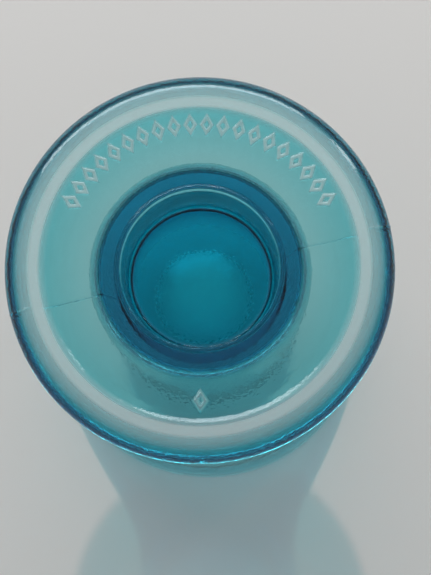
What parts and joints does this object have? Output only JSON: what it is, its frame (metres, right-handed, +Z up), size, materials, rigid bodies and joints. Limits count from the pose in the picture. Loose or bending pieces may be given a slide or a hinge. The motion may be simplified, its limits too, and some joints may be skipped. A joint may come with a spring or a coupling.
{
  "type": "footed glass bowl",
  "caption": "Thick pressed-glass footed bowl on a short solid stem, its dished foot hollowed by a central well and edged by a ground resting ring.",
  "frame": {"origin": "on the axis, at the plane of the drinking lip that the glass is stood on", "axes": "+Z up the axis from the lip to the foot, so the glass is upside down as it is shown; the raised marks' arc is centred on +Y"},
  "size_m": [0.087, 0.087, 0.114],
  "materials": {
    "turquoise_glass": "clear turquoise pressed glass, fire-polished, slightly wavy surface",
    "ground_glass": "the same glass ground flat, finely scuffed and pale"
  },
  "bodies": {
    "root": {"foot_edge": "turquoise_glass", "rest_ring": "ground_glass", "foot_plate": "turquoise_glass", "well_sleeve": "turquoise_glass", "stem_core": "turquoise_glass", "bowl_base": "turquoise_glass", "bowl_wall": "turquoise_glass", "lip": "turquoise_glass"}
  },
  "joints": []
}
